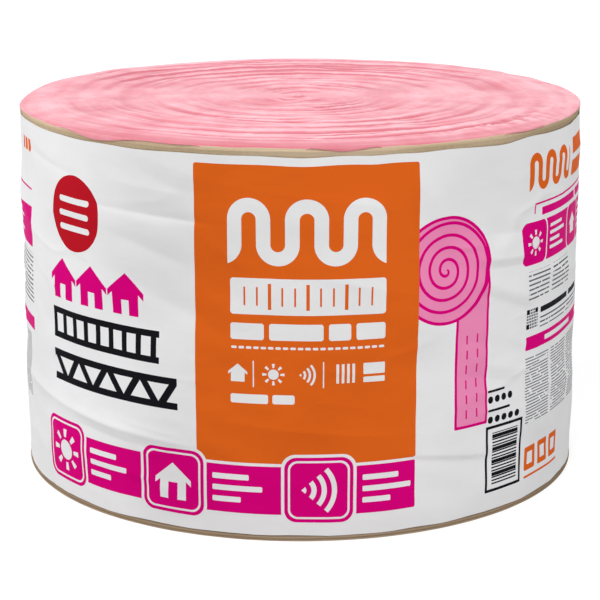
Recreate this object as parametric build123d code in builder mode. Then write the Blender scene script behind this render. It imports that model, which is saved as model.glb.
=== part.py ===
"""A roll of faced glass-wool insulation blanket, standing on one end, as it is sold.

One long blanket of glass wool is wound up tight, with no core, and squeezed to about a fifth
of its free thickness. A brown kraft paper is bonded to the face that ends up outside, and the
stapling flanges along both of its edges are folded back flat. A band of printed film, a little
narrower than the blanket, is drawn round the roll, and its end laps over its beginning.

The origin is on the floor under the roll's axis. +Z runs up the axis and -Y is the printed
front. All sizes are in millimetres.
"""

from build123d import *
from math import ceil, degrees, pi
import os

# Driving dimensions
inch = 25.4
foot = 12 * inch
blanket_width = 15 * inch  # also the height of the standing roll
blanket_length = 32 * foot
roll_diameter = 588.0  # over the film, where it passes over the flanges

kraft_thickness = 0.4  # one ply of paper with its bonding bitumen
flange_width = 32.0  # the strip folded back along each edge
floor_clearance = 0.5  # the paper's lower edge stops this far above the floor

film_thickness = 0.2
film_clearance = 0.3  # between the film and the flanges that it is drawn over
film_margin = 5.5  # bare kraft paper left showing at each end
film_lap = 75.0  # how far the film's end runs on over its beginning
film_lap_azimuth = 118.0  # where the lap starts, in degrees from +X, at the roll's back

wool_stand = 3.0  # how far the swollen wool stands above the paper's upper edge
crease_width = 15.0  # the soft creases between the turns at the upper end
crease_depth = 4.5
core_curl_radius = 2.5  # of the tight curl at the blanket's inner end
core_curl_depth = 1.0  # from the bottoms of the creases out to the ends of that curl
rim_radius = 16.0  # of the soft upper rim of the wool
rim_drop = 7.5  # from the upper end down to where the rim starts to round
foot_crease_width = 6.0  # the creases left in the end that the roll stands on
foot_crease_depth = 3.0

# Sizes that follow from these
film_radius = roll_diameter / 2 - film_thickness
flange_radius = film_radius - film_clearance
paper_radius = flange_radius - kraft_thickness
wool_radius = paper_radius - kraft_thickness
wool_top = blanket_width + wool_stand
wound_thickness = pi * wool_radius**2 / blanket_length
turn_count = ceil(wool_radius / wound_thickness) + 1
spiral_centre = wound_thickness / 4


def creased_end(height, creases, width, depth):
    """The line of one end of the wound wool, from the axis outwards: flat at that height, with a
    crease of that width, sunk by depth, at each radius in creases."""
    line = []
    for r in creases:
        line += [(r - width / 2, height), (r, height - depth), (r + width / 2, height)]
    return line[1:] if creases[0] == 0 else [(0, height), *line]


def half_turned(axis_x, facing, first_crease):
    """One half of the wound wool, turned through 180 degrees about an upright axis at axis_x.

    Its section runs from that axis outwards along X, the way that facing says. Both of its ends
    have a crease at first_crease and at each wound thickness beyond it."""
    creases = [first_crease + n * wound_thickness for n in range(turn_count)]
    outside = creases[-1] + wound_thickness
    top = creased_end(wool_top, creases, crease_width, crease_depth)
    foot = creased_end(0, creases, foot_crease_width, -foot_crease_depth)

    section_plane = Plane(origin=(axis_x, 0, 0), x_dir=(facing, 0, 0), z_dir=(0, -facing, 0))
    with BuildPart() as half:
        with BuildSketch(section_plane):
            with BuildLine():
                Polyline(*foot, (outside, 0), (outside, wool_top), *reversed(top), close=True)
            make_face()
        revolve(axis=Axis((axis_x, 0, 0), (0, 0, 1)), revolution_arc=180)
    return half.part


# Wool blanket: the wound spiral is drawn with two centres, as on a drawing board. Its back half
# is turned about one centre and its front half about the other, half a wound thickness apart,
# so every crease of one half runs on into the next crease of the other. The creases start at
# the back half's centre, where the blanket's inner end is curled up tight.
back_half = half_turned(spiral_centre, 1, 0)
front_half = half_turned(-spiral_centre, -1, wound_thickness / 2)
curl_foot = foot_crease_depth - core_curl_depth
curl_top = wool_top - crease_depth + core_curl_depth

with BuildPart() as wool_blanket:
    add(back_half)
    add(front_half)
    with BuildSketch(Plane(origin=(spiral_centre, 0, curl_foot))):
        Circle(core_curl_radius)
    extrude(amount=curl_top - curl_foot)
    with BuildSketch(Plane.XZ):
        with BuildLine():
            above_top = wool_top - rim_drop + rim_radius
            below_foot = -rim_drop
            rim_start = (wool_radius, wool_top - rim_drop)
            rim_end = (wool_radius - rim_radius, above_top)
            TangentArc(rim_start, rim_end, tangent=(0, 1))
            Polyline(rim_end, (0, above_top), (0, below_foot), (wool_radius, below_foot), rim_start)
        make_face()
    revolve(axis=Axis.Z, mode=Mode.INTERSECT)

# Kraft facing: the outermost turn of the paper, two plies thick where a flange is folded back
with BuildPart() as kraft_facing:
    with BuildSketch(Plane.XZ):
        with BuildLine():
            Polyline(
                (wool_radius, floor_clearance),
                (flange_radius, floor_clearance),
                (flange_radius, flange_width),
                (paper_radius, flange_width),
                (paper_radius, blanket_width - flange_width),
                (flange_radius, blanket_width - flange_width),
                (flange_radius, blanket_width),
                (wool_radius, blanket_width),
                close=True,
            )
        make_face()
    revolve(axis=Axis.Z)


def film_ply(inner_radius, plane, arc):
    """A ply of the film, that starts at plane and runs round the roll through arc degrees."""
    with BuildPart() as ply:
        with BuildSketch(plane):
            with Locations((inner_radius, film_margin)):
                film_height = blanket_width - 2 * film_margin
                Rectangle(film_thickness, film_height, align=(Align.MIN, Align.MIN))
        revolve(axis=Axis.Z, revolution_arc=arc)
    return ply.part


# Film wrap: one ply all the way round, and the end of the film lapped over its beginning
lap_plane = Plane.XZ.rotated((0, 0, film_lap_azimuth))
lap_arc = degrees(film_lap / film_radius)
first_ply = film_ply(film_radius, Plane.XZ, 360)
lapped_end = film_ply(film_radius + film_thickness, lap_plane, lap_arc)

with BuildPart() as film_wrap:
    add(first_ply)
    add(lapped_end)

wool_blanket.part.label = "wool_blanket"
kraft_facing.part.label = "kraft_facing"
film_wrap.part.label = "film_wrap"

os.makedirs("parts", exist_ok=True)
for piece in (wool_blanket, kraft_facing, film_wrap):
    export_step(piece.part, f"parts/{piece.part.label}.step")
    print(piece.part.label, round(piece.part.volume), piece.part.bounding_box().size)
print("wound thickness", round(wound_thickness, 2), "turns", round(wool_radius / wound_thickness, 1))
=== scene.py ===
from functools import partial, reduce
from math import cos, pi, radians, sin, tau

import bpy
import numpy as np
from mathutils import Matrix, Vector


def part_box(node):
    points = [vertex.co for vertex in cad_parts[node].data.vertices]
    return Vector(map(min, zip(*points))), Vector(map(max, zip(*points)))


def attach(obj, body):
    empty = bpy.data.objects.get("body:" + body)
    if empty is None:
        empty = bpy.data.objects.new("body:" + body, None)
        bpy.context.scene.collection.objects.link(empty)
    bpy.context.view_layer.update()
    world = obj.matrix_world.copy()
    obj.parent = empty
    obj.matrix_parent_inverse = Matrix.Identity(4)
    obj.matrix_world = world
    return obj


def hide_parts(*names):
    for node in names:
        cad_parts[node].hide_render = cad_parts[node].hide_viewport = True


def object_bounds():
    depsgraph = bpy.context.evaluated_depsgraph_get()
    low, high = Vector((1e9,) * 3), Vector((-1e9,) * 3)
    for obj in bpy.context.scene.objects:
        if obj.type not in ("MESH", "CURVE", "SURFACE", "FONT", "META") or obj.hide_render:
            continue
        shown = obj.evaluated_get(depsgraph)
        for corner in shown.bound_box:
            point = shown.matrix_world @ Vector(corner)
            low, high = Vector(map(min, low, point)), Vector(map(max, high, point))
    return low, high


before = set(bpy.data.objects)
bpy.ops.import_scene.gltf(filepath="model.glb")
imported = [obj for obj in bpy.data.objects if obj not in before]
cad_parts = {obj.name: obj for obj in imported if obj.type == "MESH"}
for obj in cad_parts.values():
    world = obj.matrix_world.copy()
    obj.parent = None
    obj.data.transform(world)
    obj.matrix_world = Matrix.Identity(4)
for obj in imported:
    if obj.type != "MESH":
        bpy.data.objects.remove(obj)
cad_low, cad_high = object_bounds()


# The view: the photograph was taken with a long lens from two metres in front of the roll, a
# third of a metre above its top, looking down at it a little.
picture_side = 600
focal_length = 1966
camera_place = (0, -2.055, 0.714)
camera_dip = radians(15.07)

lens = bpy.data.cameras.new("view")
lens.sensor_width = 36
lens.lens = focal_length / picture_side * lens.sensor_width
camera = bpy.data.objects.new("view", lens)
camera.location = camera_place
camera.rotation_euler = (pi / 2 - camera_dip, 0, 0)
bpy.context.collection.objects.link(camera)
bpy.context.scene.camera = camera
bpy.context.scene.view_settings.view_transform = "Standard"


# Wool blanket: one long mat of pink glass wool, wound up tight with no core and squeezed to a
# fifth of its thickness. Its trimmed edge is the top of the roll, where every turn swells beside
# the soft crease that parts it from the next, and the mat has buckled into finer pleats.
blanket_length = 9.754
_, wool_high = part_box("wool_blanket")
kraft_low, kraft_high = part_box("kraft_facing")
turn_pitch = pi * wool_high.x**2 / blanket_length
wool_radius = kraft_high.x - 0.0016
wool_columns = 384

crease_depth = 0.0036
crease_width = 0.0020
turn_swell = 0.0019
turn_stand = 0.0005
pleat_depth = 0.0020
rim_width = 0.038
rim_round = 0.006
foot_crease_depth = 0.003


def ripples(seed, count, *axes):
    """A soft random relief with a standard deviation of 1: the sum of count plane waves over the
    given coordinates, each with a random heading and phase and a length from 0.6 to 1.6."""
    random = np.random.default_rng(seed)
    relief = 0
    for _ in range(count):
        heading = random.normal(size=len(axes))
        heading /= np.linalg.norm(heading) * random.uniform(0.6, 1.6)
        along = sum(part * axis for part, axis in zip(heading, axes))
        relief = relief + np.sin(tau * (along + random.uniform()))
    return relief * np.sqrt(2 / count)


def smooth_step(low, high, value):
    """Rises from 0 at low to 1 at high along the cubic 3t^2 - 2t^3."""
    share = np.clip((value - low) / (high - low), 0, 1)
    return share * share * (3 - 2 * share)


def cleft(offset, width):
    """A cleft of depth 1 with a rounded bottom: e to the power 1 - sqrt(1 + (offset/width)^2)."""
    return np.exp(1 - np.sqrt(1 + (offset / width) ** 2))


def bell(offset, breadth):
    """A rounded bump of height 1 where offset is 0: e to the power -(offset/breadth)^2."""
    return np.exp(-((offset / breadth) ** 2))


def around(radius, azimuth, length):
    """A point's x and y, counted in that length: relief that is worked out from them joins up
    with itself round the roll."""
    return radius * np.cos(azimuth) / length, radius * np.sin(azimuth) / length


def roll_bulge(height):
    """How far the roll stands out beyond its true radius: by 0.8 mm round the height of 90 mm,
    and inwards above 240 mm as the 2.5th power, to 1.6 mm at the top."""
    squeezed = np.clip((height - 0.24) / 0.141, 0, None) ** 2.5
    return 0.0008 * bell(height - 0.09, 0.07) - 0.0016 * squeezed


def wound_end(radius, azimuth):
    """The relief of the wound end at polar points, and its painted light and shade, from -1 for
    painted shade deep in a crease to 1 for a painted highlight on a loose crest; streaks and lumps add
    some tone that differs at random.

    A crease runs wherever radius over the turn pitch, plus the azimuth's share of a full turn,
    less a quarter, is a whole number. Each turn is a pillow between its creases. Its stand, the
    creases' depth and a finer pleat along its middle all change slowly along the blanket, whose
    length in turns is the crease's number less the azimuth's share. The turns are squeezed tight
    at the front and the back, and lie loose and wide at the sides. To the right of the front,
    the outermost turn is rumpled."""
    front = np.clip(-np.sin(azimuth), 0, 1)
    back = np.clip(np.sin(azimuth), 0, 1)
    tight = np.sin(azimuth) ** 2
    loose = 1 - tight
    wander = 0.07 * ripples(3, 24, *around(radius, azimuth, 0.24))
    wander = wander + 0.29 * front**3 * smooth_step(0.20, 0.25, radius)
    turns = radius / turn_pitch + azimuth / tau - 0.25 + wander
    crease = np.round(turns)
    offset = turns - crease
    from_crease = offset * turn_pitch
    outer_length = crease - azimuth / tau
    inner_stand = ripples(5, 12, (outer_length - 1) / 0.7)
    outer_stand = ripples(5, 12, outer_length / 0.7)
    stand = inner_stand + (outer_stand - inner_stand) * smooth_step(-0.10, 0.10, offset)
    crease_strength = np.clip(0.75 + 0.35 * ripples(7, 12, outer_length / 0.35), 0.15, 1.3)
    crease_strength = crease_strength * (1 + 0.8 * back * smooth_step(0.14, 0.20, radius))

    turn_length = np.floor(turns) - azimuth / tau
    pleat_strength = np.clip(0.9 * ripples(11, 12, turn_length / 0.3), 0, 1.2) * tight
    pleat_place = 0.52 + 0.12 * ripples(13, 10, turn_length / 0.4)
    from_pleat = (turns - np.floor(turns) - pleat_place) * turn_pitch
    streaks = ripples(17, 60, *around(wool_radius, azimuth, 0.16), radius / 0.0085)
    tufts = ripples(19, 70, *around(radius, azimuth, 0.011))
    lumps = ripples(23, 30, *around(radius, azimuth, 0.085))
    rumpled = bell(np.degrees(azimuth) - 320, 20) * smooth_step(0.235, 0.262, radius)
    rumple = rumpled * ripples(29, 30, azimuth * wool_radius / 0.014, radius / 0.022)

    pillow = np.sqrt(1 - (1 - 2 * np.abs(offset)) ** 2)
    cut = crease_strength * cleft(from_crease, crease_width * (1 + 2.2 * loose))
    relief = (
        turn_stand * stand * (0.4 + 0.6 * tight)
        - turn_swell * (1 - pillow) * (0.12 + 0.88 * tight)
        - crease_depth * cut * (0.07 + 0.93 * tight)
        - pleat_depth * pleat_strength * cleft(from_pleat, 0.0016)
        + 0.00014 * streaks * tight
        + 0.00010 * tufts
        + 0.00022 * (1 + loose) * lumps
        + 0.00060 * rumple
    )
    at_side = 0.25 * smooth_step(0.10, 0.22, radius)
    # Painted shade that darkens each crease and pleat, most where the turns are tight
    shade = cleft(from_crease, 0.0022 + 0.0045 * loose) * (at_side + (1 - at_side) * tight)
    hollow_shade = crease_strength * shade + 0.8 * pleat_strength * cleft(from_pleat, 0.0018)
    # Painted highlight on the crests beside each crease and pleat, along the rim at the sides and on
    # the rumple, with streak and lump tone that differs at random
    crest = (
        crease_strength * cleft(np.abs(from_crease) - 0.0080, 0.0011) * tight
        + 0.8 * pleat_strength * cleft(np.abs(from_pleat) - 0.0055, 0.0010)
        + 0.15 * streaks * tight
        + 0.32 * loose**2 * smooth_step(0.258, 0.270, radius)
        + 0.35 * rumple
        + 0.16 * loose * lumps
    )
    return relief, np.clip(1.1 * crest - 1.5 * hollow_shade, -1, 1)


# Where the rim bulges over the paper's edge: azimuth and breadth in degrees, and strength
rim_lobes = [(229, 7, 2.2), (246, 5, 0.5), (278, 4.5, 1.5), (318, 5, 0.7), (42, 4, 0.8),
             (180, 20, 0.5), (0, 20, 0.5)]
lobe_past_edge = 0.3  # the strength from which the rim hangs all the way past the edge

# Where the end swells up, or sinks if the height is less than nought: azimuth, breadth, height
swellings = [(13, 7, -0.0024), (26, 5, 0.0009), (55, 12, 0.0009), (92, 24, 0.0012),
             (139, 6, 0.0010), (157, 9, 0.0011), (178, 9, -0.0028)]


def degrees_from(azimuth, middle):
    """How far an azimuth lies from a middle one given in degrees: from -180 to 180."""
    return (np.degrees(azimuth) - middle + 180) % 360 - 180


def rim_lobe(azimuth):
    """How strongly the wool bulges over the paper's edge: the sum of a bell for each lobe."""
    return sum(
        strength * bell(degrees_from(azimuth, middle), breadth)
        for middle, breadth, strength in rim_lobes
    )


def edge_sunk(azimuth):
    """How far the paper's upper edge is pushed down at the left: a bell."""
    return 0.0027 * bell(degrees_from(azimuth, 180), 14)


def wool_top(radius, azimuth):
    """The wound end as points, with its painted light and shade.

    The rim falls as the square of the way across it, and then as a quarter ellipse where it is tucked
    in behind the paper. It falls most at the front, where it is smooth and the end stands higher. The
    end is lowest at the back, and swells or sinks as a bell here and there. Painted shade is deeper
    where the rim turns away from the light, at the front and the back and round the middle, and a
    painted highlight lies over the outer turns at the right."""
    relief, tone = wound_end(radius, azimuth)
    front = np.clip(-np.sin(azimuth), 0, 1)
    back = np.clip(np.sin(azimuth), 0, 1)
    across = np.clip((radius - wool_radius) / rim_width + 1, 0, 1)
    round_share = np.clip((radius - wool_radius) / rim_round + 1, 0, 1)
    tucked_in = 1 - smooth_step(0, lobe_past_edge, rim_lobe(azimuth))
    edge_drop = (0.0017 + 0.0004 * front - 0.0012 * back) * (0.1 + 0.9 * tucked_in)
    fall = (0.0022 + 0.0012 * front) * across**2 + edge_drop * (1 - np.sqrt(1 - round_share**2))
    swelling = sum(
        size * bell(np.degrees(azimuth) - middle, breadth) for middle, breadth, size in swellings
    )
    stand = smooth_step(0.12, 0.22, radius) * (0.0010 * front - 0.0018 * back**3 + swelling)
    smoothed = (1 - 0.75 * across**3) * (1 - 0.85 * front * smooth_step(0.15, 0.75, across))
    relief = relief * smooth_step(0, 0.030, radius) * smoothed
    height = wool_high.z + 0.0008 + stand - fall + relief

    inside_rim = 1 - smooth_step(0.245, 0.275, radius)
    outer_turns = smooth_step(0.12, 0.20, radius) * inside_rim
    middle = 1 - smooth_step(0.04, 0.16, radius)
    shaded = np.clip(-np.sin(azimuth + radians(20)), 0, 1)
    # Painted shade along the rim where it turns from the light, at the front and the back and round
    # the middle, less a painted highlight over the outer turns at the right
    painted_shade_and_light = (
        0.5 * shaded**1.5 * smooth_step(0.1, 0.9, across)
        + 0.35 * front * smooth_step(0.84, 1, across)
        + 0.20 * front**2
        + 0.14 * back**2 * inside_rim
        + 0.80 * back**6 * outer_turns
        + 0.14 * middle * smooth_step(0, 0.05, radius)
        - 0.12 * np.clip(np.cos(azimuth), 0, 1) ** 2 * outer_turns
    )
    return radius, height, tone * smoothed * (1 - 0.35 * middle) - painted_shade_and_light


def wool_side(azimuth):
    """The rings from the rim to the foot. Where there is a lobe, the first ones hang out over
    the paper's edge and come back under it: they pass the edge as soon as the lobe begins, and
    hang the lower the stronger it is. Between the flanges, the side is pressed in."""
    lobe = rim_lobe(azimuth)
    _, rim_height, _ = wool_top(np.full_like(azimuth, wool_radius), azimuth)
    past_edge = smooth_step(0, lobe_past_edge, lobe)
    edge_height = kraft_high.z + 0.0020 - 0.0008 * (1 + np.sin(azimuth)) / 2 - edge_sunk(azimuth)
    hem = edge_height - 0.0002 - 0.0025 * lobe
    rings = []
    for down, out, share in [(0.0004, 0.0006, 1.0), (0.0010, 0.0015, 0.85), (0.0017, 0.0022, 0.45),
                             (0.0024, 0.0022, 0.0), (0.0030, 0.0004, -0.1)]:
        hanging = hem + share * (edge_height - hem)
        height = rim_height - down + past_edge * (hanging - rim_height + down)
        rings.append((wool_radius + past_edge * out + lobe * 0.3 * out, height))
    for share, pressed in [(0.96, 0.0030), (0.93, 0.0046), (0.05, 0.0046), (0.02, 0.0022), (0.004, 0)]:
        rings.append((wool_radius - pressed + 0 * azimuth, share * wool_high.z + 0 * azimuth))
    return np.array(rings)


def wool_foot(radius, azimuth):
    """The end that the roll stands on: flat, with the turns' creases pressed almost shut."""
    relief, tone = wound_end(radius, azimuth)
    depth = -relief * foot_crease_depth / crease_depth * smooth_step(0, 0.006, wool_radius - radius)
    return radius, np.maximum(depth, 0), tone


def grid_faces(numbers):
    """The four-cornered faces between neighbouring rows and columns of a grid of numbers."""
    corners = numbers[:-1, :-1], numbers[:-1, 1:], numbers[1:, 1:], numbers[1:, :-1]
    return np.stack(corners, axis=-1).reshape(-1, 4)


def new_piece(name, points, faces, node):
    """Makes the mesh object, shaded smooth but for its sharp edges, in place of a CAD node."""
    mesh = bpy.data.meshes.new(name)
    mesh.from_pydata(points.reshape(-1, 3).tolist(), [], [list(face) for face in faces])
    mesh.shade_smooth()
    mesh.set_sharp_from_angle(angle=radians(70))
    piece = bpy.data.objects.new(name, mesh)
    bpy.context.collection.objects.link(piece)
    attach(piece, "root")
    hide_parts(node)
    return piece


def store(piece, name, values):
    """Gives each point of a piece a value, which its material reads by that name."""
    piece.data.attributes.new(name, "FLOAT", "POINT").data.foreach_set("value", values)


azimuth = np.arange(wool_columns) * tau / wool_columns
top_grid = np.meshgrid(np.linspace(0.0012, wool_radius, 208), azimuth, indexing="ij")
foot_grid = np.meshgrid(np.linspace(wool_radius - 0.001, 0.002, 40), azimuth, indexing="ij")
side_rings = wool_side(azimuth)
top_radius, top_height, top_light_and_shade = wool_top(*top_grid)
foot_radius, foot_height, foot_light_and_shade = wool_foot(*foot_grid)
height = np.vstack([top_height, side_rings[:, 1], foot_height])
radius = np.vstack([top_radius, side_rings[:, 0], foot_radius])
radius = radius * (1 + roll_bulge(height) / wool_radius)
# Painted shade on the side's rings, darkest at the front just above the paper
side_shade = np.tile(-0.8 * np.clip(-np.sin(azimuth), 0, 1), (len(side_rings), 1))
tone = np.vstack([top_light_and_shade, side_shade, foot_light_and_shade])
rings = np.stack([radius * np.cos(azimuth), radius * np.sin(azimuth), height], axis=-1)

ring_numbers = np.arange(rings.size // 3).reshape(rings.shape[:2])
closed_numbers = np.hstack([ring_numbers, ring_numbers[:, :1]])
top_pole, foot_pole = ring_numbers.size, ring_numbers.size + 1
pole_points = np.array([rings[0].mean(axis=0), rings[-1].mean(axis=0)])
first, last = closed_numbers[0], closed_numbers[-1]
wool_faces = [
    *grid_faces(closed_numbers[::-1]).tolist(),
    *([top_pole, a, b] for a, b in zip(first[:-1].tolist(), first[1:].tolist())),
    *([foot_pole, b, a] for a, b in zip(last[:-1].tolist(), last[1:].tolist())),
]
wool_points = np.vstack([rings.reshape(-1, 3), pole_points])
wool = new_piece("wound_wool", wool_points, wool_faces, "wool_blanket")
# The wool's painted light and shade is stored on its points for its material
store(wool, "wool_painted_light_and_shade", np.append(tone.ravel(), [0.0, 0.0]))


def screen(red, green, blue):
    """A colour given as it shows on a screen, from 0 to 255, as the linear one for a shader."""
    shown = np.array([red, green, blue]) / 255
    linear = np.where(shown > 0.04045, ((shown + 0.055) / 1.055) ** 2.4, shown / 12.92)
    return (*linear.tolist(), 1.0)


def is_socket(value):
    """Whether a value is the socket of a node, and not a plain number, colour or vector."""
    return isinstance(value, bpy.types.NodeSocket)


def feed(made, inputs):
    """Feeds a node's sockets by their names or numbers: links each to the output that is given
    for it, or sets it if the value is a plain one."""
    for name, value in inputs.items():
        socket = made.inputs[name]
        if is_socket(value):
            socket.id_data.links.new(value, socket)
        else:
            socket.default_value = value


def node(kind, inputs, tree=None, **settings):
    """Adds a node with those settings and inputs, to the tree of what feeds it or a given one."""
    tree = tree or next(value.id_data for value in inputs.values() if is_socket(value))
    made = tree.nodes.new("ShaderNode" + kind)
    for name, value in settings.items():
        setattr(made, name, value)
    feed(made, inputs)
    return made


def calculate(operation, *values):
    """The result of a Math node."""
    return node("Math", dict(enumerate(values)), operation=operation).outputs[0]


plus = partial(calculate, "ADD")
minus = partial(calculate, "SUBTRACT")
times = partial(calculate, "MULTIPLY")
divided = partial(calculate, "DIVIDE")
larger = partial(calculate, "MAXIMUM")
smaller = partial(calculate, "MINIMUM")
above = partial(calculate, "GREATER_THAN")
below = partial(calculate, "LESS_THAN")
size_of = partial(calculate, "ABSOLUTE")


def vector(operation, *values):
    """The vector that a Vector Math node gives."""
    return node("VectorMath", dict(enumerate(values)), operation=operation).outputs[0]


def length_of(value):
    """A vector's length."""
    return node("VectorMath", {0: value}, operation="LENGTH").outputs["Value"]


def parts_of(value):
    """A vector's x, y and z."""
    return node("SeparateXYZ", {0: value}).outputs


def joined(**parts):
    """A vector made of single values for its X, Y or Z."""
    return node("CombineXYZ", parts).outputs[0]


def rescaled(value, low, high, to_high=1.0, to_low=0.0):
    """A value that runs evenly from to_low to to_high as the given one runs from low to high."""
    ends = {"From Min": low, "From Max": high, "To Min": to_low, "To Max": to_high}
    return node("MapRange", {"Value": value, **ends}).outputs[0]


def layered(colour, *coats):
    """A colour under coats that are laid over it in turn, each given by its share and colour."""
    for share, coat in coats:
        colour = node("Mix", {0: share, 6: colour, 7: coat}, data_type="RGBA").outputs[2]
    return colour


def bumped(height, strength, distance):
    """The normal of a surface that the height stands up from, by that distance in metres."""
    settings = {"Strength": strength, "Distance": distance}
    return node("Bump", {"Height": height, **settings}).outputs["Normal"]


def shader_group(name, inputs, *outputs):
    """An empty shader node group with the named sockets: gives what comes in by name, and the
    node that its outputs are fed to. An input is given by its value, a number or a vector of
    three, and each output is a number."""
    kinds = {1: "NodeSocketFloat", 3: "NodeSocketVector"}
    tree = bpy.data.node_groups.new(name, "ShaderNodeTree")
    for label, value in inputs.items():
        kind = kinds[np.size(value)]
        tree.interface.new_socket(label, in_out="INPUT", socket_type=kind).default_value = value
    for label in outputs:
        tree.interface.new_socket(label, in_out="OUTPUT", socket_type=kinds[1])
    return tree, tree.nodes.new("NodeGroupInput").outputs, tree.nodes.new("NodeGroupOutput")


def place(group, **inputs):
    """Adds a node group where its inputs, given by name, come from, and gives its outputs."""
    named = {name.replace("_", " ").capitalize(): value for name, value in inputs.items()}
    return node("Group", named, node_tree=group).outputs


def new_material(piece, name):
    """Gives the piece a material with a Principled BSDF alone: gives its tree and the shader."""
    material = bpy.data.materials.new(name)
    material.use_nodes = True
    piece.data.materials.append(material)
    return material.node_tree, material.node_tree.nodes["Principled BSDF"]


def stored(tree, name):
    """The value that each point of the piece was given by that name."""
    return node("Attribute", {}, tree, attribute_name=name).outputs["Fac"]


# Mottling is the uneven tone of everything here: a blotchy value about 0.5
mottling, mottling_in, mottling_out = shader_group(
    "mottling", {"Point": (0, 0, 0), "Scale": 30.0, "Detail": 3.0}, "Tone"
)
blotches = node("TexNoise", {
    "Vector": mottling_in["Point"], "Scale": mottling_in["Scale"], "Detail": mottling_in["Detail"]})
feed(mottling_out, {"Tone": blotches.outputs["Fac"]})


def mottled(point, scale, detail):
    """The uneven tone at a point."""
    return place(mottling, point=point, scale=scale, detail=detail)["Tone"]


# The pale colour serves both the random tone of streaks and clumps and the painted highlight; the deep
# colour is painted shade
wool_pink = screen(239, 164, 175)
wool_pale_and_highlight = screen(253, 213, 220)
wool_painted_shade = screen(206, 104, 119)

tree, shader = new_material(wool, "glass_wool")
place_of = node("TexCoord", {}, tree).outputs["Object"]
flat_place = vector("MULTIPLY", place_of, (1, 1, 0))
drawn_out = vector("MULTIPLY", vector("NORMALIZE", flat_place), (7.0, 7.0, 0))
streak_place = vector("ADD", drawn_out, joined(Z=times(length_of(flat_place), 190.0)))
streak_tone = mottled(streak_place, 1.0, 2.5)
clump_tone = mottled(place_of, 38.0, 3.0)
fibre_tone = mottled(place_of, 420.0, 2.0)
mixed_tone = plus(times(streak_tone, 0.25), times(clump_tone, 0.75))
painted_light_and_shade = stored(tree, "wool_painted_light_and_shade")
fibre_height = plus(times(streak_tone, 0.4), plus(times(clump_tone, 0.5), times(fibre_tone, 0.15)))
feed(shader, {
    "Base Color": layered(
        wool_pink,
        (rescaled(mixed_tone, 0.40, 0.62, 0.45), wool_pale_and_highlight),
        # Painted highlight on the crests and painted shade in the creases, round the rim and above the
        # paper
        (rescaled(painted_light_and_shade, 0.0, 0.8, 0.75), wool_pale_and_highlight),
        (rescaled(painted_light_and_shade, 0.0, -0.9, 0.8), wool_painted_shade),
    ),
    "Normal": bumped(fibre_height, 0.3, 0.003),
    "Roughness": 0.95,
    "Specular IOR Level": 0.05,
    "Sheen Weight": 0.06,
    "Sheen Roughness": 0.6,
})


# Kraft facing: brown paper bonded to the wool with bitumen, its outermost turn. A flange along
# each edge is folded back on itself, so the rim shows the fold's round bead, and the main ply's
# edge stands a little past it here and there.
kraft_columns = 480
flange_radius = kraft_high.x
flange_width = 0.032
bead_radius = 0.0005
ply = 0.0004


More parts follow.
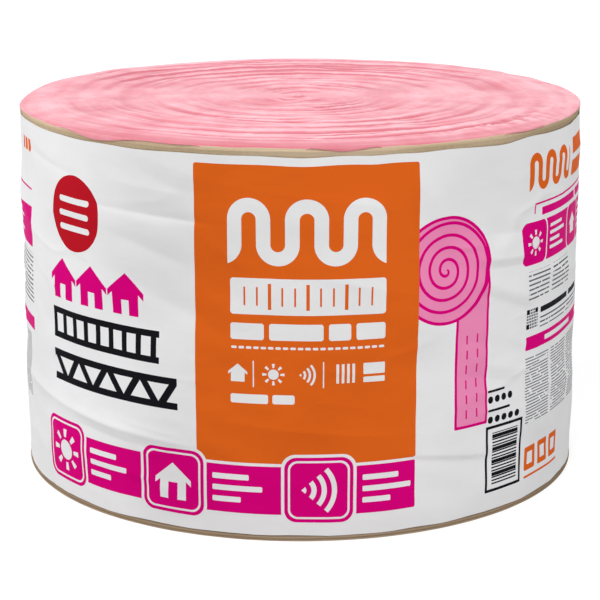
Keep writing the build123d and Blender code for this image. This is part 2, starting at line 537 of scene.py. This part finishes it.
def kraft_surface(angle):
    """The paper's closed section carried round the roll, and how raw each point's edge is.

    It goes up the inner face, over the main ply's cut edge, down a step and over the bead of the
    folded flange, down the outside, which is pressed in under the film and deeper between the
    flanges, and over the bead and the splayed edge at the foot. Waves round the roll lift the
    edges and the beads, and at the left the upper edge is pushed down with its fold."""
    ring = around(flange_radius, angle, 0.05)
    crinkle = 0.00008 * ripples(41, 40, *around(flange_radius, angle, 0.012))
    low_at_back = 0.0013 * (1 + np.sin(angle)) / 2
    upper_edge = kraft_high.z - edge_sunk(angle)
    edge = upper_edge + 0.0008 + 0.0003 * ripples(31, 24, *ring) - low_at_back
    fold = upper_edge - 0.0011 - 0.0003 * ripples(43, 24, *ring)
    foot_edge = kraft_low.z - 0.0004 + 0.00006 * np.abs(ripples(37, 24, *ring))
    foot_fold = kraft_low.z + 0.0009 + 0.0003 * ripples(47, 24, *ring)
    foot_fold = np.maximum(foot_fold, kraft_low.z + 0.0003)
    face = flange_radius - 0.0002
    pressed = flange_radius - 0.0010
    deep = pressed - 0.0036
    bead = flange_radius + bead_radius
    inner = pressed - 0.0004
    line = [
        (inner, foot_edge + 0.003, 0),
        (inner - 0.0038, foot_fold + 0.0180, 0),
        (inner - 0.0038, fold - 0.0180, 0),
        (inner, edge - 0.003, 0),
        (face - 1.9 * ply, edge - 0.0001, 1),
        (face - 1.6 * ply, edge, 1),
        (face - 1.1 * ply, edge, 1),
        (face - 0.9 * ply, edge - 0.0002, 1),
        (face - 0.8 * ply, fold - 0.0002, 0.6),
        (face - 0.5 * ply, fold, 0.2),
        (face + 0.1 * ply, fold - 0.0001, 0),
        (bead - 0.0001, fold - 0.0006, 0),
        (bead + crinkle, fold - 0.0012, 0),
        (bead - 0.0002 + crinkle, fold - 0.0020, 0),
        (face + crinkle, fold - 0.0030, 0),
        (face - 0.0002 + crinkle, fold - 0.0042, 0),
        (pressed, fold - 0.0060, 0),
        (deep, fold - 0.0170, 0),
        (deep, kraft_high.z - flange_width, 0),
        (deep - 0.0002, kraft_high.z - flange_width - 0.0003, 0),
        (deep - 0.0002, kraft_low.z + flange_width + 0.0003, 0),
        (deep, kraft_low.z + flange_width, 0),
        (deep, foot_fold + 0.0170, 0),
        (pressed, foot_fold + 0.0060, 0),
        (face - 0.0002 + crinkle, foot_fold + 0.0042, 0),
        (face + crinkle, foot_fold + 0.0030, 0),
        (bead - 0.0001 + crinkle, foot_fold + 0.0018, 0),
        (bead + crinkle, foot_fold + 0.0009, 0),
        (bead - 0.0001, foot_fold + 0.0003, 0),
        (face + 0.0002, foot_fold, 0.3),
        (face + 0.0001, foot_fold - 0.0001, 0.8),
        (bead, foot_edge + 0.0002, 1),
        (bead + 0.0001, foot_edge, 1),
        (bead - 0.0004, foot_edge, 1),
    ]
    radius, height, rawness = (np.stack([part + 0 * angle for part in parts]) for parts in zip(*line))
    radius = radius + roll_bulge(height)
    return np.stack([radius * np.cos(angle), radius * np.sin(angle), height], axis=-1), rawness


kraft_points, rawness = kraft_surface(np.arange(kraft_columns) * tau / kraft_columns)
kraft_numbers = np.arange(kraft_points.size // 3).reshape(kraft_points.shape[:2])
kraft_numbers = np.pad(kraft_numbers, ((0, 1), (0, 1)), mode="wrap")
kraft = new_piece(
    "folded_kraft", kraft_points, grid_faces(kraft_numbers[::-1]), "kraft_facing"
)
store(kraft, "raw_edge", rawness.ravel())

kraft_brown = screen(189, 167, 136)
kraft_light = screen(211, 189, 160)
# The grain's colour, also used as painted shade on the right side
kraft_grain_and_shade = screen(126, 110, 86)
# The raw edges' colour, also used as a painted highlight
kraft_edge_and_highlight = screen(216, 194, 166)
kraft_foot_shade = screen(124, 101, 82)
kraft_crevice_shade = screen(84, 68, 56)

tree, shader = new_material(kraft, "kraft_paper")
place_of = node("TexCoord", {}, tree).outputs["Object"]
grain_tone = mottled(vector("MULTIPLY", place_of, (1, 1, 3.5)), 260.0, 4.0)
patch_tone = mottled(place_of, 11.0, 2.0)
across, _, up = parts_of(place_of)
# Painted shade in two dark lines: just under the film's lower edge, and in the groove by the foot's
# bead
shade_under_film = times(rescaled(up, 0.0036, 0.0054, 0.6), below(up, 0.02))
shade_in_groove = rescaled(size_of(minus(up, 0.0027)), 0.0007, 0.0001, 0.45)
feed(shader, {
    "Base Color": layered(
        kraft_brown,
        (rescaled(patch_tone, 0.35, 0.65, 0.5), kraft_light),
        (rescaled(grain_tone, 0.35, 0.7, 0.22), kraft_grain_and_shade),
        (times(stored(tree, "raw_edge"), 0.8), kraft_edge_and_highlight),
        # Painted highlight: the paper is lighter across the middle of the front
        (rescaled(size_of(minus(across, 0.03)), 0.09, 0.04, 0.5), kraft_edge_and_highlight),
        # Painted shade: the paper darkens towards the right side
        (rescaled(across, 0.17, 0.25, 0.32), kraft_grain_and_shade),
        # Painted shade: the paper darkens towards the foot
        (rescaled(up, 0.012, 0.003, 0.62), kraft_foot_shade),
        # Painted shade laid in those two lines
        (larger(shade_under_film, shade_in_groove), kraft_crevice_shade),
    ),
    "Normal": bumped(grain_tone, 0.25, 0.0004),
    "Roughness": 0.7,
    "Specular IOR Level": 0.01,
})


# Film wrap: a band of white film, printed in four inks, drawn tight round the roll and lapped
# over its own beginning at the back. It lies on the folded flanges, and long shallow creases
# run where it was pulled.
film_low, film_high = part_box("film_wrap")
film_thickness = 0.0002
lap_azimuth = radians(118)
lap_length = 0.075
film_radius = film_high.x - film_thickness
film_length = tau * film_radius + lap_length
front_azimuth = radians(270)
film_start = -film_radius * (front_azimuth - lap_azimuth)
film_rows = 261
film_columns = 301

# Each spot of painted shade on the film: its middle's arc and height, its breadth and reach, and
# strength
film_shade_spots = [
    (-0.140, 0.300, 0.085, 0.110, 0.11),
    (-0.130, 0.050, 0.060, 0.050, 0.10),
    (0.200, 0.345, 0.080, 0.050, 0.09),
]

# Each crease: where it starts and ends, as arc to the right of the front's middle and height,
# how high it stands, or how deep it lies where that is less than nought, and how wide its flanks
# are: the upper or right one, then the other. All in millimetres.
film_creases = [
    (-185, 381, -90, 350, 2.6, 14, 12),
    (-200, 374, -94, 329, -3.2, 12, 22),
    (-200, 343, -90, 333, 1.8, 10, 20),
    (-216, 315, -88, 308, -2.2, 24, 16),
    (-222, 315, -84, 308.5, -2.0, 9, 2.2),
    (-206, 294, -110, 268, -2.4, 11, 13),
    (-188, 251, -98, 217, -2.4, 15, 15),
    (-372, 363, -280, 350, 1.0, 9, 8),
    (-368, 353, -232, 336, -1.8, 8, 4.5),
    (-400, 115, -128, 88, 3.9, 7.5, 14),
    (-258, 102, -100, 88, 1.7, 5, 2.2),
    (-252, 88.5, -140, 79.5, -1.3, 4, 4),
    (-192, 105, -110, 96, 0.7, 3, 3),
    (-330, 196, -292, 150, 1.2, 8, 12),
    (116, 300, 128, 176, 3.0, 24, 46),
    (110, 366, 150, 296, 3.4, 13, 24),
    (196, 287, 264, 281, -2.8, 24, 10),
    (182, 264, 264, 257, 1.9, 9, 5),
    (188, 255, 264, 249, -1.7, 5, 10),
    (166, 250, 272, 208, 2.0, 13, 8),
    (174, 235, 270, 198, -2.0, 7, 14),
    (160, 167, 252, 142, 1.4, 14, 10),
    (164, 152, 252, 130, -1.8, 10, 16),
    (96, 82, 206, 64.5, 1.5, 9, 3),
    (104, 76.5, 202, 60, -0.9, 3, 6),
    (-90, 352, 108, 322, 1.2, 8, 14),
    (-70, 118, 110, 100, 1.6, 8, 14),
    (20, 262, 112, 238, 1.4, 7, 10),
    (-98, 300, -40, 262, 1.6, 8, 10),
    (270, 240, 420, 212, 2.4, 8, 13),
    (285, 120, 410, 96, 2.2, 8, 13),
    (-420, 300, -330, 268, 2.4, 8, 13),
]


def crease_relief(arc, height, crease):
    """One crease's relief: its crest runs straight from start to end and fades towards both, and
    each flank falls off exponentially with the distance from the crest, rounded within 0.7 mm."""
    start_arc, start_height, end_arc, end_height, crest, upper, lower = (
        0.001 * size for size in crease
    )
    run = np.array([end_arc - start_arc, end_height - start_height])
    reach = np.linalg.norm(run)
    along = ((arc - start_arc) * run[0] + (height - start_height) * run[1]) / reach**2
    across = ((height - start_height) * run[0] - (arc - start_arc) * run[1]) / reach
    flank = np.where(across > 0, upper, lower)
    fade = smooth_step(-0.15, 0.3, along) * (1 - smooth_step(0.7, 1.15, along))
    return crest * fade * np.exp(-np.sqrt((across / flank) ** 2 + (0.0007 / flank) ** 2))


def from_front(arc):
    """The arc to the right of the front's middle, within half a round either way."""
    return (arc + pi * film_radius) % (tau * film_radius) - pi * film_radius


def film_relief(arc, height):
    """How far the film stands off its true round: soft bulges drawn out round the roll, finer
    slanting ripples, fine folds on the lines where a pull changes sign, the creases, and small
    puckers along both edges. The back has the front's creases once more, the other way round. The
    film sinks in by no more than 0.9 mm over the flanges' folds and 4.3 mm between them, which
    the logarithm of 1 + e to the power of the relief rounds off."""
    angle = arc / film_radius
    bulges = ripples(61, 40, *around(film_radius, angle, 0.16), height / 0.10)
    slant = ripples(67, 50, *around(film_radius, angle, 0.09), (height + 0.25 * arc) / 0.030)
    from_back = pi * film_radius - arc % (tau * film_radius)
    folds = sum(
        crease_relief(from_front(arc), height, crease) + crease_relief(from_back, height, crease)
        for crease in film_creases
    )
    from_edge = np.minimum(height - film_low.z, film_high.z - height)
    puckers = ripples(71, 40, *around(film_radius, angle, 0.016)) * np.exp(-from_edge / 0.009)
    held = smooth_step(-0.004, 0.05, from_edge)
    pull = ripples(79, 50, *around(film_radius, angle, 0.13), (height + 0.22 * arc) / 0.055)
    patches = ripples(83, 30, *around(film_radius, angle, 0.25), height / 0.12)
    drawn = 0.0010 * np.clip(0.3 + 0.6 * patches, 0, 1.5) * cleft(pull, 0.20)
    relief = held * (0.0006 * bulges + 0.00024 * slant + drawn) + (0.15 + 0.85 * held) * folds
    relief = relief + 0.00012 * puckers - 0.0005 * held
    deepest = 0.0009 + 0.0034 * smooth_step(0.005, 0.020, from_edge)
    return 0.0002 * np.logaddexp(0, (relief + deepest) / 0.0002) - deepest


def lapped_relief(arc, height):
    """The relief where the film laps: its beginning follows the end that lies on it, and comes
    back to its own relief within 60 mm past it."""
    own = smooth_step(lap_length, lap_length + 0.06, arc - film_start)
    followed = film_relief(arc + tau * film_radius, height)
    return followed + (film_relief(arc, height) - followed) * own


# Where the film's upper edge dips: azimuth and breadth in degrees, and depth in millimetres
edge_dips = [(230, 9, 1.1), (272, 5, 1.2), (284, 3, 1.2), (311, 5, 2.1), (331, 5, 1.5)]


def film_sheet(arc, height, inset):
    """The film's face at that inset from the outer one. The radius is the roll's plus the relief,
    and eases out by a little over a thickness where the end laps over the beginning. Both edges
    wander up and down a little, and the upper one dips."""
    angle = front_azimuth + arc / film_radius
    lap_start = film_start + tau * film_radius
    lapped = 1.8 * film_thickness * smooth_step(lap_start - 0.012, lap_start - 0.001, arc)
    lifted = 0.0009 * smooth_step(film_start + film_length - 0.012, film_start + film_length, arc)
    edge_wave = 0.0004 * ripples(73, 20, *around(film_radius, angle, 0.08)) - 0.0003
    dip = 0.0008 + 0.001 * sum(
        depth * bell(degrees_from(angle, middle), breadth) for middle, breadth, depth in edge_dips
    )
    share = (height - film_low.z) / (film_high.z - film_low.z)
    moved = height + edge_wave * (2 * share - 1) ** 5 - dip * share**5
    radius = film_radius + roll_bulge(height) + lapped_relief(arc, height) + lapped + lifted - inset
    return np.stack([radius * np.cos(angle), radius * np.sin(angle), moved], axis=-1)


def edge_strip(fine, coarse):
    """Five-cornered faces that join a fine line of points to a coarse one half as dense."""
    return np.stack([coarse[:-1], coarse[1:], fine[2::2], fine[1::2], fine[:-2:2]], axis=-1)


film_arc = film_start + np.linspace(0, film_length, film_columns)
film_height = np.linspace(film_low.z, film_high.z, film_rows)
height_grid, arc_grid = np.meshgrid(film_height, film_arc, indexing="ij")
outer_points = film_sheet(arc_grid, height_grid, 0)
inner_points = film_sheet(arc_grid[::2, ::2], height_grid[::2, ::2], 1.5 * film_thickness)
outer = np.arange(arc_grid.size).reshape(arc_grid.shape)
inner = outer.size + np.arange(inner_points.size // 3).reshape(inner_points.shape[:2])
film_faces = np.vstack([grid_faces(outer), grid_faces(inner[::-1])])
film_strips = np.vstack([
    edge_strip(outer[0], inner[0]),
    edge_strip(outer[-1, ::-1], inner[-1, ::-1]),
    edge_strip(outer[::-1, 0], inner[::-1, 0]),
    edge_strip(outer[:, -1], inner[:, -1]),
])
film_points = np.vstack([outer_points.reshape(-1, 3), inner_points.reshape(-1, 3)])


def film_painted_shade(arc, height):
    """How much painted shade darkens the film: a bell across and up each spot."""
    return sum(
        strength * bell(from_front(arc) - across, breadth) * bell(height - up, reach)
        for across, up, breadth, reach, strength in film_shade_spots
    )


film = new_piece(
    "printed_film", film_points, film_faces.tolist() + film_strips.tolist(), "film_wrap"
)

# The print repeats twice round the roll. The film's own map gives each point's place on the
# print in metres: the arc from the middle of the orange panel, and the height.
print_start = -0.312
print_length = pi * film_radius
point_arc, point_height = (np.append(grid, grid[::2, ::2]) for grid in (arc_grid, height_grid))
store(film, "film_painted_shade", film_painted_shade(point_arc, point_height))
print_map = []
for faces in (film_faces, film_strips):
    repeat = np.floor((point_arc[faces].mean(axis=1, keepdims=True) - print_start) / print_length)
    corners = np.stack([point_arc[faces] - repeat * print_length, point_height[faces]], axis=-1)
    print_map.append(corners.reshape(-1, 2))
film.data.uv_layers.new(name="Print")
film.data.uv_layers["Print"].data.foreach_set("uv", np.vstack(print_map).ravel())

film_white = screen(232, 232, 233)
ink_orange = screen(221, 99, 29)
ink_magenta = screen(213, 2, 121)
ink_pink = screen(236, 138, 182)
ink_red = screen(182, 22, 36)
ink_black = screen(22, 22, 27)
ink_grey = screen(84, 84, 88)

tree, shader = new_material(film, "printed_film")
printed = node("UVMap", {}, tree, uv_map="Print").outputs["UV"]

box_group, box_in, box_out = shader_group(
    "printed_box",
    {"Point": (0, 0, 0), "Centre": (0, 0, 0), "Half": (1, 1, 1), "Corner": 0.001},
    "Mask",
)
beside = vector("ABSOLUTE", vector("SUBTRACT", box_in["Point"], box_in["Centre"]))
core = vector("SUBTRACT", box_in["Half"], box_in["Corner"])
past_core = vector("MAXIMUM", vector("SUBTRACT", beside, core), (0, 0, 0))
feed(box_out, {"Mask": below(length_of(past_core), box_in["Corner"])})


def printed_box(left, right, low, high, corner=0.5, point=None):
    """The mask of a box with round corners, its sides given in millimetres on the print."""
    centre = (0.0005 * (left + right), 0.0005 * (low + high), 0)
    half = (0.0005 * (right - left), 0.0005 * (high - low), 1)
    return place(
        box_group, point=point or printed, centre=centre, half=half, corner=0.001 * corner
    )["Mask"]


def mask_of(shape):
    """The mask of a shape, which is a mask already or the sides of a printed box."""
    return shape if is_socket(shape) else printed_box(*shape)


def both(*shapes):
    """The mask of where all of the shapes are."""
    return reduce(times, map(mask_of, shapes))


def either(*shapes):
    """The mask of where any of the shapes is."""
    return reduce(larger, map(mask_of, shapes))


def centred(arc, height):
    """The printed point seen from a place given in millimetres."""
    return vector("SUBTRACT", printed, (0.001 * arc, 0.001 * height, 0))


def repeated(arc, height, pitch, pitch_up=10_000):
    """The printed point seen from the nearest of a row of places. The first place and the
    pitches are in millimetres."""
    half = (0.0005 * pitch, 0.0005 * pitch_up, 1)
    return vector("WRAP", centred(arc, height), half, tuple(-size for size in half))


def row_of(width, height, corner, *row):
    """The mask of a row of boxes alike, whose first middle and pitches repeated() takes."""
    return printed_box(-width / 2, width / 2, -height / 2, height / 2, corner, repeated(*row))


# The sign that drawings use for a blanket of wool: a line that winds up and down in round loops
winding, winding_in, winding_out = shader_group(
    "winding_line", {"Point": (0, 0, 0), "Pitch": 0.05, "Straight": 0.01, "Width": 0.012}, "Mask"
)
quarter = times(winding_in["Pitch"], 0.25)
across, upward, _ = parts_of(winding_in["Point"])


def arches(first_quarter, rise):
    """The line's arches on one side, each with its two straight legs, half a pitch apart."""
    past_first = minus(across, times(quarter, first_quarter))
    sideways = calculate("WRAP", past_first, times(quarter, 2.0), times(quarter, -2.0))
    past_legs = larger(minus(rise, winding_in["Straight"]), 0.0)
    off_line = size_of(minus(length_of(joined(X=sideways, Y=past_legs)), quarter))
    on_side = above(plus(rise, winding_in["Straight"]), 0.0)
    return times(below(off_line, times(winding_in["Width"], 0.5)), on_side)


feed(winding_out, {"Mask": larger(arches(1.0, upward), arches(3.0, times(upward, -1.0)))})

# The mark of a wound roll: a spiral line from the middle out to a round outline
coil, coil_in, coil_out = shader_group(
    "coil_line", {"Point": (0, 0, 0), "Radius": 0.05, "Pitch": 0.012, "Width": 0.003}, "Mask", "Disc"
)
coil_x, coil_y, _ = parts_of(coil_in["Point"])
from_middle = length_of(coil_in["Point"])
turned = divided(calculate("ARCTAN2", coil_y, coil_x), tau)
wound = plus(divided(from_middle, coil_in["Pitch"]), turned)
on_coil = below(calculate("FRACT", wound), divided(coil_in["Width"], coil_in["Pitch"]))
in_disc = below(from_middle, coil_in["Radius"])
in_core = below(from_middle, minus(coil_in["Radius"], coil_in["Width"]))
feed(coil_out, {"Mask": larger(times(on_coil, in_disc), minus(in_disc, in_core)), "Disc": in_disc})

# A gable house, seen from its end: walls and a wider roof of one slope
sign_inputs = {"Point": (0, 0, 0), "Size": 0.01}
gable, gable_in, gable_out = shader_group("gable_house", sign_inputs, "Mask")
gable_x, gable_y, _ = parts_of(vector("DIVIDE", gable_in["Point"], gable_in["Size"]))
aside = size_of(gable_x)
roof_height = plus(gable_y, times(aside, 0.85))
in_roof = times(above(roof_height, 0.70), below(aside, 0.97))
in_walls = times(above(gable_y, -0.85), below(aside, 0.70))
feed(gable_out, {"Mask": times(below(roof_height, 1.0), larger(in_roof, in_walls))})

# A sun for warmth: a disc with eight rays
sun, sun_in, sun_out = shader_group("sun", sign_inputs, "Mask")
sun_x, sun_y, _ = parts_of(sun_in["Point"])
sun_reach = divided(length_of(sun_in["Point"]), sun_in["Size"])
eighths = times(calculate("ARCTAN2", sun_y, sun_x), 8 / tau)
on_ray = below(calculate("PINGPONG", eighths, 0.5), 0.17)
past_gap = times(above(sun_reach, 0.62), below(sun_reach, 1.0))
feed(sun_out, {"Mask": larger(below(sun_reach, 0.48), times(on_ray, past_gap))})

# Sound that fades: three arcs, open to the right
sound, sound_in, sound_out = shader_group("sound_arcs", sign_inputs, "Mask")
sound_x, sound_y, _ = parts_of(sound_in["Point"])
shifted_x = plus(sound_x, times(sound_in["Size"], 0.8))
sound_reach = divided(length_of(joined(X=shifted_x, Y=sound_y)), sound_in["Size"])
on_arc = below(calculate("FRACT", times(sound_reach, 1.9)), 0.5)
in_fan = below(size_of(sound_y), times(shifted_x, 0.9))
feed(sound_out, {"Mask": times(on_arc, times(in_fan, below(sound_reach, 1.85)))})

# Small print: fine rows broken into lengths like words by a noise that differs from row to row
small_print, rows_in, rows_out = shader_group(
    "small_print", {"Point": (0, 0, 0), "Row pitch": 0.004, "Thickness": 0.45, "Word": 130.0}, "Mask"
)
rows_x, rows_y, _ = parts_of(rows_in["Point"])
row_number = divided(rows_y, rows_in["Row pitch"])
on_row = below(calculate("FRACT", row_number), rows_in["Thickness"])
word_place = joined(X=times(rows_x, rows_in["Word"]), Y=times(calculate("FLOOR", row_number), 7.3))
words = node("TexNoise", {"Vector": word_place, "Scale": 1.0, "Detail": 1.0}).outputs["Fac"]
feed(rows_out, {"Mask": times(on_row, above(words, 0.37))})

# What is printed, in order: the mask and ink of each coat
coats = []


def lay(ink, *shapes):
    """Prints an ink over what is printed so far, wherever any of the shapes is."""
    coats.append((either(*shapes), ink))


def sign(motif, arc, height, size):
    """The mask of a sign at a place and of a size in millimetres."""
    return place(motif, point=centred(arc, height), size=0.001 * size)["Mask"]


def badge(arc, height, frames, motif, start, row_height, corner, rows):
    """Prints a badge: its frames from the outer one in, each given by its half size, corner and
    ink, and in white the sign on it and the rows that start beside it, each given by how far out
    it ends and how high it lies."""
    for half, round_off, ink in frames:
        lay(ink, (arc - half, arc + half, height - half, height + half, round_off))
    lay(film_white, motif, *[
        (arc + start, arc + end, high - row_height, high, corner) for end, high in rows])


# A roll of blanket with its end hanging down, in pink with a magenta line, behind the panel
roll_arc, roll_height, roll_radius = 144, 259, 53
mat_right = roll_arc + roll_radius
lay(ink_magenta, (mat_right - 41, mat_right, 98, roll_height, 1))
lay(ink_pink, (mat_right - 38, mat_right - 3, 101, roll_height, 1))
mark = place(coil, point=centred(roll_arc, roll_height), radius=0.001 * roll_radius,
             pitch=0.0118, width=0.0032)
lay(ink_pink, mark["Disc"])
lay(ink_magenta, mark["Mask"])
for stitch_arc in (mat_right - 27, mat_right - 14):
    stitches = row_of(1.8, 9, 0.5, stitch_arc, 112, 10_000, 15)
    lay(ink_magenta, both(stitches, (stitch_arc - 3, stitch_arc + 3, 106, 196)))

# The orange panel, with the winding line, a scale with ticks, and a row of building signs
lay(ink_orange, (-100.8, 113.6, 78.3, 367.3, 2.5))
loops = place(winding, point=centred(-61.25, 304), pitch=0.0542, straight=0.0119, width=0.0135)
lay(film_white, both(loops["Mask"], (-68, 81, 271, 337)))
lay(film_white, (-66, 81, 224.5, 259.5, 3))
ticks = either(row_of(1.8, 18, 0.4, 7.5, 242, 12), row_of(3.2, 25, 0.4, 7.5, 242, 36))
lay(ink_orange, both(ticks, (-58, 73, 226, 258)))
bar_ends = [(-66, -34), (-29, 22), (27, 48), (53, 81)]
lay(film_white, *[(left, right, 200, 216, 2.5) for left, right in bar_ends])
lay(film_white, both(row_of(5.2, 2.4, 1, -62.5, 192.5, 7), (-66, 81, 190, 195)))
lay(
    film_white,
    sign(gable, -59, 167, 9.5),
    (-44.6, -43.4, 154, 180),
    sign(sun, -25, 167, 10.5),
    sign(sound, 6, 167, 8.5),
    (21.4, 22.6, 154, 180),
    both((34, 52, 158, 177), row_of(2.6, 20, 0.4, 35.4, 167, 5.07)),
    (60, 81, 158, 163.5, 1),
    (60, 81, 166, 177, 1),
)
lay(film_white, (-66, -30, 138, 147, 2), (-26, -5, 138, 147, 2))

# The magenta band, with three badges and short lines beside them
lay(ink_magenta, (-272, 113.6, 26.8, 75.3, 2))
band_frames = [
    (36, 14, film_white), (33, 12, ink_magenta), (29.5, 9.5, film_white), (27.5, 8, ink_magenta)]
house_arc = -127
for arc, motif in [
    (-272, sign(sun, -272, 52, 22)),
    (house_arc, sign(gable, house_arc, 50, 20)),
    (18, sign(sound, 16, 52, 18.5)),
]:
    badge(arc, 52, band_frames, motif, 42, 5.5, 1.2, [(78, 66), (91, 54.5), (70, 43)])
lay(ink_magenta, (house_arc - 5, house_arc + 5, 33, 50, 0.5))

# The emblem: a red disc crossed by white bars
lay(ink_red, (-286, -210, 262, 338, 38))
lay(film_white, *[(-272, -224, bar_low, bar_low + 6, 3) for bar_low in (282, 296, 310)])

# A row of houses, a framed wall and a roof truss, in heavy lines
houses = place(gable, point=repeated(-269, 229.5, 45), size=0.0225)["Mask"]
doors = row_of(9, 16, 0.5, -269, 217.5, 45)
lay(ink_magenta, both(minus(houses, smaller(doors, houses)), (-292, -156, 205, 256)))
studs = both(row_of(6.4, 34, 0.4, -286.3, 184, 17.6), (-289.5, -139.5, 168, 200))
lay(ink_black, studs, (-289.5, -139.1, 168, 174.5), (-289.5, -139.1, 193.5, 200))
truss_x, truss_y, _ = parts_of(repeated(-288, 124, 42))
slope_height = times(minus(0.021, size_of(truss_x)), 1.5)
web = below(size_of(minus(truss_y, slope_height)), 0.0068)
lay(ink_black, both(web, (-289.5, -120, 124, 156)))
lay(ink_black, (-289.5, -120, 124, 131), (-289.5, -120, 149, 156))

# The ladder of bars in its frame, and two rows above it
lay(ink_black, (196, 249, 24.5, 93.5, 0.8))
lay(film_white, (199, 246, 27.5, 90.5, 0.4))
rungs = row_of(37, 1.6, 0.3, 223.5, 33, 10_000, 3.3)
heavy_rungs = row_of(37, 3.8, 0.3, 223.5, 42.6, 10_000, 13.2)
lay(ink_black, both(either(rungs, heavy_rungs), (205, 242, 32, 86)))
beads = row_of(6.8, 7.2, 3.3, 201.8, 100, 9.4, 20.5)
lay(ink_black, both(beads, either((198, 245.5, 96, 104), (198, 236, 116, 124.5))))
lay(ink_black, (198, 229, 108.5, 111, 1), (198, 222, 128, 130.5, 1))

# The side panel: the same inks on a smaller scale
loops = place(winding, point=centred(256, 339), pitch=0.030, straight=0.0075, width=0.008)
lay(ink_orange, both(loops["Mask"], (252, 345, 318, 361)))
lay(ink_orange, (356, 420, 342, 359, 1.5), (356, 408, 319, 335, 1.5))
lay(ink_magenta, (262, 578, 306, 308), (262, 264, 297, 308))
lay(ink_magenta, (276, 372, 294, 302, 1), (378, 440, 294, 302, 1), (286, 578, 247, 289, 1.5))
for arc, motif, size in [(265, sun, 13), (368, gable, 11.5), (470, sound, 11)]:
    badge(arc, 268, [(23.5, 9.5, film_white), (21.5, 8, ink_magenta)], sign(motif, arc, 268, size),
          30, 3.5, 0.8, [(62, 282), (70, 274.5), (56, 267), (66, 259.5)])
fine_rows = place(small_print, point=printed, row_pitch=0.0047, thickness=0.34, word=190.0)["Mask"]
lay(ink_grey, both(fine_rows, either(
    (254, 296, 211, 240), (303, 352, 211, 240), (470, 578, 186, 240), (279, 440, 179, 191))))
lay(ink_black, both(row_of(2, 2, 0.2, 255.6, 182, 3, 3), (254, 274, 181, 201)))
lay(ink_black, (254, 259, 196, 201), (269, 274, 196, 201), (254, 259, 181, 186))
lay(ink_black, (279, 352, 194, 200, 1), (358, 396, 194, 200, 1))
lay(ink_magenta, (254, 578, 159, 173, 1.5))
lay(film_white, (290, 366, 163.5, 168.5, 1), (402, 520, 163.5, 168.5, 1))
close_rows = place(small_print, point=printed, row_pitch=0.0030, thickness=0.36, word=150.0)["Mask"]
columns = [(left, left + 46, 82, 153) for left in range(254, 515, 52)]
lay(ink_grey, both(close_rows, either(*columns)))
squares = (256, 282, 308)
lay(ink_orange, *[(left, left + 20, 33, 58, 2) for left in squares])
lay(film_white, *[(left + 5, left + 15, 39, 52, 1) for left in squares])
lay(ink_orange, (256, 330, 25, 27.5))
lay(ink_orange, (546, 553, 345, 358, 1), (556, 566, 345, 358, 3), (569, 578, 345, 358, 3))

place_of = node("TexCoord", {}, tree).outputs["Object"]
haze = rescaled(mottled(place_of, 14.0, 3.0), 0.3, 0.7, 1.0, 0.95)
# Painted shade: the film's colour is darkened in those soft spots
unshaded_share = minus(1.0, stored(tree, "film_painted_shade"))
rub_tone = mottled(vector("MULTIPLY", place_of, (1, 1, 0.35)), 60.0, 4.0)
slack_tone = mottled(vector("MULTIPLY", place_of, (1, 1, 2.2)), 26.0, 2.5)
colour = vector("MULTIPLY", layered(film_white, *coats), haze)
feed(shader, {
    "Base Color": vector("MULTIPLY", colour, unshaded_share),
    "Roughness": rescaled(rub_tone, 0.3, 0.7, 0.56, 0.44),
    "Normal": bumped(slack_tone, 0.35, 0.002),
    "Specular IOR Level": 0.01,
})


# Floor and light: a white studio. The floor is white to the camera but for the roll's shadow.
# Three soft lights hang round the front, well above the roll, and one hangs over its back.
floor_half = 8
floor_mesh = bpy.data.meshes.new("studio_floor")
floor_corners = [(-floor_half, -floor_half, 0), (floor_half, -floor_half, 0),
                 (floor_half, floor_half, 0), (-floor_half, floor_half, 0)]
floor_mesh.from_pydata(floor_corners, [], [(0, 1, 2, 3)])
floor = bpy.data.objects.new("studio_floor", floor_mesh)
bpy.context.collection.objects.link(floor)


def seen(tree):
    """1 on the rays that come from the camera, straight or off a gloss or through glass, and
    otherwise 0."""
    path = node("LightPath", {}, tree).outputs
    mirrored = larger(path["Is Glossy Ray"], path["Is Transmission Ray"])
    return larger(path["Is Camera Ray"], mirrored)


shadowed_grey = (0.3, 0.3, 0.3, 1)
bounce_grey = (0.5, 0.5, 0.5, 1)
no_glow = (0, 0, 0, 1)
tree, shader = new_material(floor, "studio_floor")
from_roll = length_of(node("TexCoord", {}, tree).outputs["Object"])
feed(shader, {
    "Base Color": layered(bounce_grey, (seen(tree), shadowed_grey)),
    "Emission Color": layered(no_glow, (seen(tree), rescaled(from_roll, 0.5, 3.0, 1.0, 0.78))),
    "Emission Strength": 1.0,
    "Roughness": 1.0,
    "Specular IOR Level": 0.0,
})

surround_strength = 0.25
studio = bpy.data.worlds.new("studio")
studio.use_nodes = True
bpy.context.scene.world = studio
strength = rescaled(seen(studio.node_tree), 0.0, 1.0, 1.0, surround_strength)
feed(studio.node_tree.nodes["Background"], {"Color": (1, 1, 1, 1), "Strength": strength})


def soft_light(name, bearing, height, distance, width, power):
    """A square area light that looks at the middle of the roll. Its bearing is in degrees to the
    right of the front, its distance is level, and the power is in watts."""
    light = bpy.data.lights.new(name, "AREA")
    light.size = width
    light.energy = power
    lamp = bpy.data.objects.new(name, light)
    lamp.location = (distance * sin(radians(bearing)), -distance * cos(radians(bearing)), height)
    aim = -lamp.location.normalized()
    aim.z = (cad_high.z / 2 - height) / lamp.location.length
    lamp.rotation_euler = aim.to_track_quat("-Z", "Y").to_euler()
    bpy.context.collection.objects.link(lamp)


soft_light("left_light", -84, 2.4, 3.6, 1.6, 85)
soft_light("front_light", -20, 2.4, 3.6, 1.6, 65)
soft_light("right_light", 58, 2.4, 3.6, 1.6, 80)
soft_light("top_light", 180, 2.5, 0.9, 1.2, 15)
